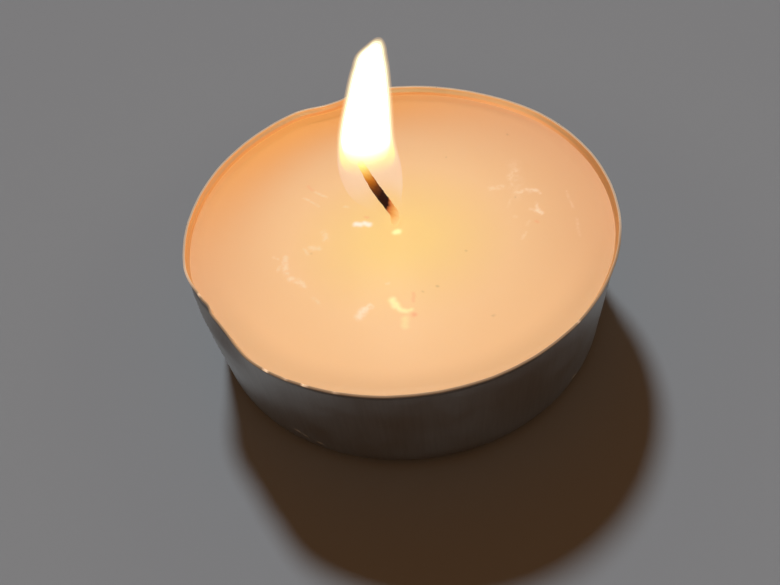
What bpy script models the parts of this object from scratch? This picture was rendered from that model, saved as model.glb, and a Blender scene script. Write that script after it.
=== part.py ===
"""A burning tealight: a thin pressed cup, dented at its rim, and one pool of melted wax round a bent wick.

Metres, +Z up. The origin is the centre of the cup's underside, and -Y is the side seen in front.
Heights above the wax are measured from the wax's level between its raised edges.
"""

import math
from typing import NamedTuple

import bmesh
import bpy
import numpy as np

# Cup: one sheet, drawn to a tapered wall with a rounded foot and a small flared lip.
RIM_RADIUS = 0.0190
FOOT_RADIUS = 0.0183
CUP_HEIGHT = 0.0116
SHEET_THICKNESS = 0.0002
FOOT_ROUNDING = 0.0014
LIP_FLARE = 0.00018
LIP_HEIGHT = 0.00055

# Every pair of pieces that touch on the real candle keeps this gap here.
CLEARANCE = 0.0003

# Wax: its level, and the raised edge where it clings to the cup.
WAX_BELOW_RIM = 0.0011
WAX_EDGE_RISE = 0.00025
WAX_EDGE_WIDTH = 0.0012

# Wick: it stands in the sustainer, a little off the cup's axis, and bends over above the wax.
WICK_RADIUS = 0.0004
WICK_TIP_RADIUS = 0.00026
WICK_OFF_CENTRE = -0.00028
WICK_REACH = 0.0073
WICK_LEAN = -0.00231

# Sustainer: a thin tab with a short neck that the wick stands in.
TAB_RADIUS = 0.0062
TAB_THICKNESS = 0.0002
NECK_HEIGHT = 0.0030
NECK_WALL = 0.0002

# Flame: its lower end closes in to a thin ring round the wick, this high above the wax.
FLAME_LIFT = 0.0017
FLAME_LENGTH = 0.0165
FLAME_RADIUS = 0.00235
FLAME_LEAN = -0.00159
FLAME_RING_WALL = 0.00025
FLAME_TIP_RADIUS = 0.00006

# Facets: turns round the cup and the small pieces, and steps along the curved profiles.
CUP_TURNS = 96
SMALL_TURNS = 32
ROUNDING_STEPS = 4
WALL_STEPS = 8
WALL_STEP_GROWTH = 1.5
LIP_STEPS = 2
WAX_EDGE_STEPS = 3
FLAME_STEPS = 16
WICK_STEPS = 14

# Points nearer than this are one point.
WELD_DISTANCE = 1e-6


class Dent(NamedTuple):
    """A place where the wall is pushed in at the rim. Angles are in degrees, counter-clockwise from +X."""

    azimuth: float
    half_width: float
    depth: float
    reach_down: float


DENTS = (
    Dent(azimuth=213, half_width=19, depth=0.00068, reach_down=0.0024),
    Dent(azimuth=201, half_width=11, depth=0.00032, reach_down=0.0012),
    Dent(azimuth=108, half_width=12, depth=0.00070, reach_down=0.0030),
    Dent(azimuth=60, half_width=29, depth=0.00020, reach_down=0.0050),
)

# The metal that a dent pushes in at the rim stands out again below it, by this share of the dent's depth.
BULGE_SHARE = 0.1


class Station(NamedTuple):
    """A place along the wick or the flame: height above the wax, shift from the wick's foot, radius."""

    height: float
    shift: float
    radius: float


WICK_STATIONS = (
    Station(0.0, 0.0, WICK_RADIUS),
    Station(0.16 * WICK_REACH, 0.0, WICK_RADIUS),
    Station(0.27 * WICK_REACH, 0.14 * WICK_LEAN, WICK_RADIUS),
    Station(0.55 * WICK_REACH, 0.52 * WICK_LEAN, WICK_RADIUS),
    Station(WICK_REACH, WICK_LEAN, WICK_TIP_RADIUS),
)


def flame_station(height, shift, radius):
    """A station of the flame, from its shares of the flame's length, lean and widest radius."""
    return Station(FLAME_LIFT + height * FLAME_LENGTH, shift * FLAME_LEAN, radius * FLAME_RADIUS)


FLAME_STATIONS = (
    Station(FLAME_LIFT, 0.09 * FLAME_LEAN, WICK_RADIUS + CLEARANCE + FLAME_RING_WALL),
    flame_station(0.07, 0.50, 0.59),
    flame_station(0.15, 0.79, 0.87),
    flame_station(0.26, 0.94, 1.0),
    flame_station(0.42, 1.0, 0.95),
    flame_station(0.72, 0.56, 0.70),
    flame_station(0.88, 0.29, 0.52),
    flame_station(0.975, -0.05, 0.26),
    Station(FLAME_LIFT + FLAME_LENGTH, -0.19 * FLAME_LEAN, FLAME_TIP_RADIUS),
)

WALL_TOP_RADIUS = RIM_RADIUS - LIP_FLARE
WALL_TOP_HEIGHT = CUP_HEIGHT - LIP_HEIGHT
WAX_LEVEL = CUP_HEIGHT - WAX_BELOW_RIM
FLOOR_TOP = SHEET_THICKNESS
SEAT_HEIGHT = FLOOR_TOP + CLEARANCE
WAX_INSET = SHEET_THICKNESS + CLEARANCE
WICK_HOLE_RADIUS = WICK_RADIUS + CLEARANCE
NECK_RADIUS = WICK_HOLE_RADIUS + NECK_WALL


def clear_scene():
    """Removes every object, so that the script can run in an open file."""
    for obj in list(bpy.data.objects):
        bpy.data.objects.remove(obj, do_unlink=True)


def new_collection(name):
    """A collection of this name, linked into the scene."""
    collection = bpy.data.collections.new(name)
    bpy.context.scene.collection.children.link(collection)
    return collection


def new_material(name, colour, roughness, metallic=0.0, emission=0.0):
    """A Principled BSDF of this colour, which also glows in that colour where emission is set."""
    material = bpy.data.materials.new(name)
    material.use_nodes = True
    shader = material.node_tree.nodes["Principled BSDF"]
    shader.inputs["Base Color"].default_value = (*colour, 1.0)
    shader.inputs["Roughness"].default_value = roughness
    shader.inputs["Metallic"].default_value = metallic
    shader.inputs["Emission Color"].default_value = (*colour, 1.0)
    shader.inputs["Emission Strength"].default_value = emission
    material.diffuse_color = (*colour, 1.0)
    return material


def new_object(name, data, collection):
    """An object that holds this data, in this collection."""
    obj = bpy.data.objects.new(name, data)
    collection.objects.link(obj)
    return obj


def as_mesh_object(obj):
    """The object with its modifiers or its curve turned into a plain mesh, with loose caps welded on."""
    graph = bpy.context.evaluated_depsgraph_get()
    mesh = bpy.data.meshes.new_from_object(obj.evaluated_get(graph))
    edit = bmesh.new()
    edit.from_mesh(mesh)
    bmesh.ops.remove_doubles(edit, verts=edit.verts, dist=WELD_DISTANCE)
    edit.to_mesh(mesh)
    edit.free()
    name, collection, matrix = obj.name, obj.users_collection[0], obj.matrix_world.copy()
    bpy.data.objects.remove(obj, do_unlink=True)
    made = new_object(name, mesh, collection)
    made.matrix_world = matrix
    return made


def turned(name, profile, turns, collection, closed=False):
    """A profile of (radius, height) pairs, turned about Z. It runs down its outer side, to face out."""
    mesh = bpy.data.meshes.new(name)
    edges = [(i, i + 1) for i in range(len(profile) - 1)]
    if closed:
        edges.append((len(profile) - 1, 0))
    mesh.from_pydata([(radius, 0.0, height) for radius, height in profile], edges, [])
    obj = new_object(name, mesh, collection)
    screw = obj.modifiers.new("Turn", "SCREW")
    screw.axis = "Z"
    screw.steps = turns
    screw.render_steps = turns
    screw.use_merge_vertices = True
    screw.merge_threshold = WELD_DISTANCE
    return obj


def cut(obj, cutter, name):
    """A Boolean that takes the cutter's shape out of the object."""
    cutter.hide_render = True
    cutter.display_type = "WIRE"
    boolean = obj.modifiers.new(name, "BOOLEAN")
    boolean.operation = "DIFFERENCE"
    boolean.solver = "EXACT"
    boolean.object = cutter


def shade_round(obj, sharp_degrees=40):
    """Smooth shading, with edges sharper than this angle kept."""
    obj.data.shade_smooth()
    obj.data.set_sharp_from_angle(angle=math.radians(sharp_degrees))


def fade(distance):
    """1 at 0, falling smoothly to 0 at 1 and beyond."""
    return math.cos(0.5 * math.pi * min(1.0, abs(distance))) ** 2


def dent_depth(azimuth, height):
    """How far the dents push the wall in at this azimuth, in degrees, and height."""
    depth = 0.0
    for dent in DENTS:
        turn = (azimuth - dent.azimuth + 180) % 360 - 180
        down = (CUP_HEIGHT - height) / dent.reach_down
        pushed = fade(down) - BULGE_SHARE * fade(down - 2)
        depth += dent.depth * fade(turn / dent.half_width) * pushed
    return depth


def wall_radius(height):
    """The outside of the undented wall, which tapers from its top to the foot's rounding."""
    share = (height - FOOT_ROUNDING) / (WALL_TOP_HEIGHT - FOOT_ROUNDING)
    return FOOT_RADIUS + (WALL_TOP_RADIUS - FOOT_RADIUS) * share


def press_dents(mesh, inset):
    """Pushes the sheet, or the wax that is inset from it, in at the dents. It fades towards the axis."""
    for vertex in mesh.vertices:
        x, y, height = vertex.co
        radius = math.hypot(x, y)
        share = min(1.0, radius / (wall_radius(height) - inset)) ** 2
        depth = share * dent_depth(math.degrees(math.atan2(y, x)), height)
        if depth:
            vertex.co.x -= depth * x / radius
            vertex.co.y -= depth * y / radius


def side_profile(inset, top):
    """The wall as (radius, height), from its top down to the foot, this far inside the sheet's outer face.

    Its steps are shortest near the rim, where the dents are.
    """
    heights = top - (top - FOOT_ROUNDING) * np.linspace(0, 1, WALL_STEPS + 1) ** WALL_STEP_GROWTH
    points = [(wall_radius(height) - inset, float(height)) for height in heights]
    rounding = FOOT_ROUNDING - inset
    for step in range(1, ROUNDING_STEPS + 1):
        angle = 0.5 * math.pi * step / ROUNDING_STEPS
        points.append(
            (
                FOOT_RADIUS - FOOT_ROUNDING + rounding * math.cos(angle),
                FOOT_ROUNDING - rounding * math.sin(angle),
            )
        )
    return points


def on_curve(stations, height):
    """The sideways shift and the radius at this height, on a smooth curve through the stations."""
    heights = np.array([station.height for station in stations])
    values = np.array([(station.shift, station.radius) for station in stations])
    slopes = np.gradient(values, heights, axis=0)
    place = int(np.clip(np.searchsorted(heights, height) - 1, 0, len(heights) - 2))
    span = heights[place + 1] - heights[place]
    t = (height - heights[place]) / span
    start = (2 * t**3 - 3 * t**2 + 1) * values[place] + (t**3 - 2 * t**2 + t) * span * slopes[place]
    end = (3 * t**2 - 2 * t**3) * values[place + 1] + (t**3 - t**2) * span * slopes[place + 1]
    shift, radius = start + end
    return float(shift), float(radius)


def wick_path():
    """The wick's points as (x, height, radius): straight up through the wax, then over to its tip."""
    points = [
        (WICK_OFF_CENTRE, SEAT_HEIGHT, WICK_RADIUS),
        (WICK_OFF_CENTRE, 0.5 * (SEAT_HEIGHT + WAX_LEVEL), WICK_RADIUS),
    ]
    for height in np.linspace(WICK_STATIONS[0].height, WICK_STATIONS[-1].height, WICK_STEPS):
        shift, radius = on_curve(WICK_STATIONS, height)
        points.append((WICK_OFF_CENTRE + shift, WAX_LEVEL + float(height), radius))
    return points


def rod(name, path, growth, collection):
    """A round rod along the path, thicker than the path's own radius by the growth, with closed ends."""
    curve = bpy.data.curves.new(name, "CURVE")
    curve.dimensions = "3D"
    curve.bevel_depth = WICK_RADIUS
    curve.bevel_resolution = 2
    curve.use_fill_caps = True
    spline = curve.splines.new("POLY")
    spline.points.add(len(path) - 1)
    for point, (x, height, radius) in zip(spline.points, path):
        point.co = (x, 0.0, height, 1.0)
        point.radius = (radius + growth) / WICK_RADIUS
    return as_mesh_object(new_object(name, curve, collection))


def make_cup(collection):
    """The pressed cup: the outer face of the sheet is turned, dented and then given its thickness inwards."""
    profile = []
    for step in range(LIP_STEPS):
        share = step / LIP_STEPS
        inwards = LIP_FLARE * (1 - math.cos(0.5 * math.pi * share))
        profile.append((RIM_RADIUS - inwards, CUP_HEIGHT - LIP_HEIGHT * share))
    profile += side_profile(0.0, WALL_TOP_HEIGHT)
    profile += [(0.5 * FOOT_RADIUS, 0.0), (0.0, 0.0)]
    cup = as_mesh_object(turned("cup", profile, CUP_TURNS, collection))
    press_dents(cup.data, 0.0)
    sheet = cup.modifiers.new("Sheet", "SOLIDIFY")
    sheet.thickness = SHEET_THICKNESS
    sheet.offset = -1.0
    sheet.use_even_offset = True
    return cup


def make_wax(collection, cutters):
    """The wax: it follows the dented cup, and is cut out round the sustainer and the wick."""
    side = side_profile(WAX_INSET, WAX_LEVEL + WAX_EDGE_RISE)
    edge = side[0][0]
    top = [(0.0, WAX_LEVEL), (0.5 * edge, WAX_LEVEL)]
    for share in np.linspace(0, 1, WAX_EDGE_STEPS, endpoint=False):
        top.append((edge - WAX_EDGE_WIDTH * (1 - share), WAX_LEVEL + WAX_EDGE_RISE * share**2))
    bottom = [(0.5 * edge, SEAT_HEIGHT), (0.0, SEAT_HEIGHT)]
    wax = as_mesh_object(turned("wax", top + side + bottom, CUP_TURNS, collection))
    press_dents(wax.data, WAX_INSET)
    tab_room = TAB_RADIUS + CLEARANCE
    tab_roof = SEAT_HEIGHT + TAB_THICKNESS + CLEARANCE
    neck_room = NECK_RADIUS + CLEARANCE
    neck_roof = SEAT_HEIGHT + NECK_HEIGHT + CLEARANCE
    beyond = WAX_LEVEL + WAX_BELOW_RIM
    profile = [
        (0.0, beyond),
        (WICK_HOLE_RADIUS, beyond),
        (WICK_HOLE_RADIUS, neck_roof),
        (neck_room, neck_roof),
        (neck_room, tab_roof),
        (tab_room, tab_roof),
        (tab_room, 0.0),
        (0.0, 0.0),
    ]
    room = as_mesh_object(turned("sustainer_room", profile, SMALL_TURNS, cutters))
    room.location.x = WICK_OFF_CENTRE
    cut(wax, room, "Room for the sustainer and the wick")
    return wax


def make_sustainer(collection):
    """The tab on the cup's floor, with the neck that the wick stands in, in one piece."""
    tab_top = SEAT_HEIGHT + TAB_THICKNESS
    profile = [
        (WICK_HOLE_RADIUS, SEAT_HEIGHT + NECK_HEIGHT),
        (NECK_RADIUS, SEAT_HEIGHT + NECK_HEIGHT),
        (NECK_RADIUS, tab_top),
        (TAB_RADIUS, tab_top),
        (TAB_RADIUS, SEAT_HEIGHT),
        (WICK_HOLE_RADIUS, SEAT_HEIGHT),
    ]
    sustainer = as_mesh_object(turned("wick_sustainer", profile, SMALL_TURNS, collection, closed=True))
    sustainer.location.x = WICK_OFF_CENTRE
    return sustainer


def make_flame(collection, cutters):
    """The flame: a turned drop that leans as its stations say, hollow round the wick.

    Its steps are shortest at its two ends, where its side turns most.
    """
    low, high = FLAME_STATIONS[0].height, FLAME_STATIONS[-1].height
    turns = np.linspace(0, math.pi, FLAME_STEPS + 1)
    heights = [0.5 * (high + low) + 0.5 * (high - low) * math.cos(turn) for turn in turns]
    profile = [(0.0, high)]
    profile += [(on_curve(FLAME_STATIONS, height)[1], height) for height in heights]
    profile += [(0.0, low)]
    flame = as_mesh_object(turned("flame", profile, SMALL_TURNS, collection))
    for vertex in flame.data.vertices:
        vertex.co.x += WICK_OFF_CENTRE + on_curve(FLAME_STATIONS, vertex.co.z)[0]
        vertex.co.z += WAX_LEVEL
    path = wick_path()
    x, height, radius = path[-1]
    path.append((x, height + CLEARANCE, radius))
    cut(flame, rod("wick_room", path, CLEARANCE, cutters), "Room for the wick")
    return flame


def main():
    """Builds the candle's five pieces, each with its own material."""
    clear_scene()
    candle = new_collection("melted_candle")
    cutters = new_collection("melted_candle_cutters")
    pieces = (
        (make_cup(candle), new_material("Pressed aluminium", (0.42, 0.42, 0.42), 0.42, metallic=1.0)),
        (make_wax(candle, cutters), new_material("Melted wax", (0.91, 0.58, 0.27), 0.30)),
        (
            rod("wick", wick_path(), 0.0, candle),
            new_material("Charred cotton", (0.02, 0.015, 0.012), 0.90),
        ),
        (make_sustainer(candle), new_material("Tinned steel", (0.50, 0.50, 0.48), 0.35, metallic=1.0)),
        (
            make_flame(candle, cutters),
            new_material("Burning vapour", (1.0, 0.85, 0.50), 1.0, emission=6.0),
        ),
    )
    for obj, material in pieces:
        obj.data.materials.clear()
        obj.data.materials.append(material)
        shade_round(obj)


main()
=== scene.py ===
"""The looks of a burning tealight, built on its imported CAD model.

A thin pressed cup, pushed in at its rim, holds one pool of molten wax. A bent, charred wick stands in the
wax and carries the flame. Sizes are in millimetres and azimuths in degrees, counter-clockwise from +X.
The origin is the centre of the cup's underside, +Z is up and -Y is the side seen in front. Heights along
the wick and the flame are measured from the wax's level.
"""

import logging
import math
from collections.abc import Sequence
from dataclasses import dataclass, field
from enum import Enum

import bpy
import numpy as np
from mathutils import Matrix, Vector


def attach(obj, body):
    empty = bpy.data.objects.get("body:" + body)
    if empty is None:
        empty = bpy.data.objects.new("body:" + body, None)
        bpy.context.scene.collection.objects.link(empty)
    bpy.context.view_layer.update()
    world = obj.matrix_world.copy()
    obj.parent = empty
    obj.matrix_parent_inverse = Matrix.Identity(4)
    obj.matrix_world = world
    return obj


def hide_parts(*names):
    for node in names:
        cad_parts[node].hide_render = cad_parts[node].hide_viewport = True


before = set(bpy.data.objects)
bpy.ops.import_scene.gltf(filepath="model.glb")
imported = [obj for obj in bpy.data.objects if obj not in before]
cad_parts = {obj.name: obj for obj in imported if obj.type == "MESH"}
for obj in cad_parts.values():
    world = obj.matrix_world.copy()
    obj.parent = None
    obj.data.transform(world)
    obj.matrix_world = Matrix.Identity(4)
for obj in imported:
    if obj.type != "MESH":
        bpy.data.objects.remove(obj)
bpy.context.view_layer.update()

LOG = logging.getLogger("tealight")
MM = 0.001

Array = np.ndarray
Pair = tuple[float, float]
Triple = tuple[float, float, float]
Colour = tuple[float, float, float, float]
Piece = bpy.types.Object
Tree, Node, Socket = bpy.types.NodeTree, bpy.types.Node, bpy.types.NodeSocket
Inputs = dict[str | int, object]


# Arithmetic that the pieces share.


def fade(distance: Array | float) -> Array:
    """The squared cosine of a quarter turn times the distance, which is 1 at 0 and 0 from 1 on.

    Args:
        distance: how far out, as a share of the reach.

    Returns:
        The share that is left there.
    """
    return np.cos(0.5 * np.pi * np.minimum(1.0, np.abs(distance))) ** 2


def ease(low: float, high: float, value: Array) -> Array:
    """A smooth step, three times the square less twice the cube of the way from low to high.

    Args:
        low: where it starts to rise from 0.
        high: where it reaches 1.
        value: what is looked up.

    Returns:
        The height of the step there.
    """
    share = np.clip((value - low) / (high - low), 0.0, 1.0)
    return share * share * (3 - 2 * share)


def ripple(angle: Array, waves: Sequence[Triple]) -> Array:
    """The sum of sines, each of its own size, count and phase.

    Args:
        angle: the angle or distance along which the waves run.
        waves: the size, the count in 2 pi and the phase of each wave.

    Returns:
        The sum at each angle.
    """
    return sum(size * np.sin(count * angle + phase) for size, count, phase in waves)


def between(start: Array | float, end: Array | float, share: Array) -> Array:
    """The point this share of the way from start to end."""
    return start + (end - start) * share


def turned(azimuth: Array, middle: float) -> Array:
    """How far an azimuth is from the middle one, between -180 and 180 degrees."""
    return (azimuth - middle + 180) % 360 - 180


@dataclass(frozen=True)
class Patch:
    """A part round one azimuth, strongest there, that fades out to both sides.

    Attributes:
        azimuth: its middle.
        half_width: how far it reaches to each side, in degrees.
        strength: how strong it is in the middle.
    """

    azimuth: float
    half_width: float
    strength: float = 1.0

    def at(self, azimuth: Array) -> Array:
        """Its strength at each azimuth."""
        return self.strength * fade(turned(azimuth, self.azimuth) / self.half_width)


# Meshes.


@dataclass
class Skin:
    """A closed surface on a grid, in millimetres, with one pole above its first row and one below its last.

    Its rows run down its outer side and its columns counter-clockwise about it, so its faces point outwards.

    Attributes:
        points: the grid, rows by columns by 3.
        top: the pole above the first row.
        bottom: the pole below the last row.
        marks: values on the grid that the finish reads, each rows by columns, or by 3 for a colour.
    """

    points: Array
    top: Triple
    bottom: Triple
    marks: dict[str, Array] = field(default_factory=dict)

    def corners(self) -> Array:
        """Every point of the grid, row by row, and then the two poles."""
        return np.concatenate([self.points.reshape(-1, 3), [self.top, self.bottom]])

    def faces(self) -> tuple[Array, Array]:
        """Quads between neighbouring rows, and a fan of triangles at each pole.

        Returns:
            The quads and the triangles, as places in corners().
        """
        rows, columns = self.points.shape[:2]
        here = np.arange(rows * columns).reshape(rows, columns)
        next_ = np.roll(here, -1, axis=1)
        quads = np.stack([here[:-1], here[1:], next_[1:], next_[:-1]], axis=-1).reshape(-1, 4)
        top = np.full(columns, rows * columns)
        fans = [
            np.stack([top, here[0], next_[0]], axis=-1),
            np.stack([here[-1], top + 1, next_[-1]], axis=-1),
        ]
        return quads, np.concatenate(fans)

    def mark(self, name: str) -> Array:
        """One of its marks, in the order of corners(); a pole takes the mean of the row beside it.

        Args:
            name: the mark's name.

        Returns:
            One value, or one colour, for each corner.
        """
        grid = self.marks[name]
        ends = np.stack([grid[0].mean(axis=0), grid[-1].mean(axis=0)])
        return np.concatenate([grid.reshape(-1, *grid.shape[2:]), ends])


def make_piece(name: str, skins: Sequence[Skin]) -> Piece:
    """One object that holds these closed surfaces, at the origin, smooth all over.

    Args:
        name: the piece's name.
        skins: its surfaces, which carry the same marks.

    Returns:
        The object, linked into the scene.
    """
    corners, loops, sides, start = [], [], [], 0
    for skin in skins:
        for group in skin.faces():
            loops.append(group.ravel() + start)
            sides.append(np.full(len(group), group.shape[1]))
        corners.append(skin.corners())
        start += len(corners[-1])
    loops, sides = np.concatenate(loops), np.concatenate(sides)
    mesh = bpy.data.meshes.new(name)
    mesh.vertices.add(start)
    mesh.vertices.foreach_set("co", (np.concatenate(corners) * MM).astype(np.float32).ravel())
    mesh.loops.add(len(loops))
    mesh.loops.foreach_set("vertex_index", loops.astype(np.int32))
    mesh.polygons.add(len(sides))
    mesh.polygons.foreach_set("loop_start", (np.cumsum(sides) - sides).astype(np.int32))
    mesh.update(calc_edges=True)
    mesh.shade_smooth()
    for key, grid in skins[0].marks.items():
        values = np.concatenate([skin.mark(key) for skin in skins]).astype(np.float32)
        if grid.ndim == 3:
            layer = mesh.attributes.new(key, "FLOAT_COLOR", "POINT")
            layer.data.foreach_set("color", np.insert(values, 3, 1.0, axis=1).ravel())
        else:
            layer = mesh.attributes.new(key, "FLOAT", "POINT")
            layer.data.foreach_set("value", values)
    piece = bpy.data.objects.new(name, mesh)
    bpy.context.scene.collection.objects.link(piece)
    return piece


def seat(piece: Piece, finish: "Finish", node: str) -> Piece:
    """Dresses a piece, lets it ride on the candle and lets it stand for a CAD node, which it hides.

    Args:
        piece: the new piece.
        finish: what it is made of.
        node: the CAD node that it replaces.

    Returns:
        The piece.
    """
    piece.data.materials.append(finish.make())
    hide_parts(node)
    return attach(piece, "root")


# Materials.


def linear(hex_colour: str) -> Colour:
    """The linear colour, with full alpha, of an sRGB hex colour.

    Args:
        hex_colour: six hex digits after a "#".

    Returns:
        Red, green, blue and alpha.
    """
    coded = np.array([int(hex_colour[place : place + 2], 16) / 255 for place in (1, 3, 5)])
    light = np.where(coded <= 0.04045, coded / 12.92, ((coded + 0.055) / 1.055) ** 2.4)
    return (*(float(value) for value in light), 1.0)


def set_inputs(tree: Tree, node: Node, inputs: Inputs) -> None:
    """Gives inputs of a node their values and links.

    Args:
        tree: the nodes that it is one of.
        node: the node.
        inputs: a value or a linked output for each input, by its name or number.
    """
    for key, value in inputs.items():
        if isinstance(value, Socket):
            tree.links.new(value, node.inputs[key])
        else:
            node.inputs[key].default_value = value


def add_node(
    tree: Tree,
    kind: str,
    inputs: Inputs | None = None,
    stops: Sequence[tuple[float, str]] = (),
    **settings: object,
) -> Node:
    """Adds a shader node, sets it and links it.

    Args:
        tree: the material's nodes.
        kind: the node's type, without its ShaderNode start.
        inputs: as set_inputs takes them.
        stops: the places and hex colours of a colour ramp, from its first to its last.
        settings: the node's own settings.

    Returns:
        The node.
    """
    node = tree.nodes.new("ShaderNode" + kind)
    for key, value in settings.items():
        setattr(node, key, value)
    set_inputs(tree, node, inputs or {})
    # A new ramp has its first and its last stop already.
    for place, (position, tint) in enumerate([*stops[:1], *stops[-1:], *stops[1:-1]]):
        elements = node.color_ramp.elements
        stop = elements[place] if place < 2 else elements.new(position)
        stop.position, stop.color = position, linear(tint)
    return node


def grain(tree: Tree, width: float, detail: float = 2.0, stretch: Triple = (1.0, 1.0, 1.0)) -> Socket:
    """Noise that runs evenly through a piece.

    Args:
        tree: the material's nodes.
        width: one grain of it.
        detail: how many times it is repeated finer on itself.
        stretch: a grain's width as a share of its length along each axis.

    Returns:
        Its output.
    """
    place = add_node(tree, "TexCoord").outputs["Object"]
    place = add_node(tree, "Mapping", {"Vector": place, "Scale": stretch}).outputs[0]
    noise = {"Vector": place, "Scale": 1 / (width * MM), "Detail": detail}
    return add_node(tree, "TexNoise", noise).outputs[0]


BLACK = (0.0, 0.0, 0.0, 1.0)

# Sockets of the Mix node in its colour mode.
MIX_FACTOR, MIX_FIRST, MIX_SECOND, MIX_RESULT = 0, 6, 7, 2


def lay_coats(tree: Tree, colour: Colour | Socket, coats: Sequence[tuple[str | Socket, str]]) -> Socket:
    """Mixes coats over a colour, one after the other.

    Args:
        tree: the material's nodes.
        colour: what lies under them.
        coats: how far each one covers, as the name of a mark or as an output, and its hex colour.

    Returns:
        The colour with all of them on.
    """
    for cover, tint in coats:
        if isinstance(cover, str):
            cover = add_node(tree, "Attribute", attribute_name=cover).outputs["Fac"]
        mixed = {MIX_FACTOR: cover, MIX_FIRST: colour, MIX_SECOND: linear(tint)}
        colour = add_node(tree, "Mix", mixed, data_type="RGBA").outputs[MIX_RESULT]
    return colour


@dataclass(frozen=True)
class Finish:
    """A material, named for what the real one is."""

    name: str

    def shade(self, tree: Tree) -> Inputs:
        """Its own nodes, as inputs of its Principled shader."""
        raise NotImplementedError

    def make(self) -> bpy.types.Material:
        """Builds the material round its one Principled shader.

        Returns:
            The material.
        """
        material = bpy.data.materials.new(self.name)
        material.use_nodes = True
        tree = material.node_tree
        set_inputs(tree, tree.nodes["Principled BSDF"], self.shade(tree))
        return material


@dataclass(frozen=True)
class DrawnAluminium(Finish):
    """Thin aluminium sheet, deep-drawn and then handled: dull, finely streaked down its wall, and smudged.

    A film of wax turns it amber, bare metal is brighter and smoother, and soot and painted shade darken it;
    painted glow and painted glints stand in for the flame's light on it.

    Attributes:
        sheet, streak: the metal between the streaks and in them.
        bare, film, grime: the metal where it is rubbed, under the wax film, and under soot, painted shade and
            the darkening at the foot.
        glow, edge_light: the colours of the painted glow on the film and of the painted glints on the cut
            edge.
        streak_width, streak_stretch: one drawing streak, and its width as a share of its length.
        smudge_width: one smudge.
        roughness: between the smudges and in them.
        bare_shine: how much less rough bare metal is.
    """

    name: str = "Drawn aluminium sheet"
    sheet: str = "#BDB8B3"
    streak: str = "#B7B2AD"
    bare: str = "#E6DDD2"
    film: str = "#EFCA96"
    glow: str = "#9E724E"
    edge_light: str = "#ECBC90"
    grime_and_painted_shade: str = "#6A5448"
    streak_width: float = 0.30
    streak_stretch: float = 0.06
    smudge_width: float = 6.0
    roughness: Pair = (0.30, 0.46)
    bare_shine: float = 0.14

    def shade(self, tree: Tree) -> Inputs:
        """Streaks and smudges as noise, with coats, painted shade and painted light where the cup marks them.

        Args:
            tree: the material's nodes.

        Returns:
            The shader's inputs.
        """
        streaks = grain(tree, self.streak_width, 3.0, (1.0, 1.0, self.streak_stretch))
        smudges = grain(tree, self.smudge_width, 4.0)
        metal = add_node(tree, "ValToRGB", {0: streaks}, stops=((0.35, self.streak), (0.65, self.sheet)))
        coats = (("film", self.film), ("grime_and_painted_shade", self.grime_and_painted_shade), ("bare", self.bare))
        low, high = self.roughness
        smudged = {0: smudges, "From Min": 0.3, "From Max": 0.7, "To Min": low, "To Max": high}
        rough = add_node(tree, "MapRange", smudged).outputs[0]
        bare = add_node(tree, "Attribute", attribute_name="bare").outputs["Fac"]
        smoother = {0: bare, 1: -self.bare_shine, 2: rough}
        relief = {"Height": streaks, "Strength": 0.06, "Distance": 0.02 * MM}
        return {
            "Base Color": lay_coats(tree, metal.outputs[0], coats),
            "Metallic": 1.0,
            "Roughness": add_node(tree, "Math", smoother, operation="MULTIPLY_ADD").outputs[0],
            "Normal": add_node(tree, "Bump", relief).outputs[0],
            # Painted glow on the film and painted glints on the edge, given out as light.
            "Emission Color": lay_coats(tree, BLACK, (("thick", self.glow), ("lit", self.edge_light))),
            "Emission Strength": 1.0,
        }


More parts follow.
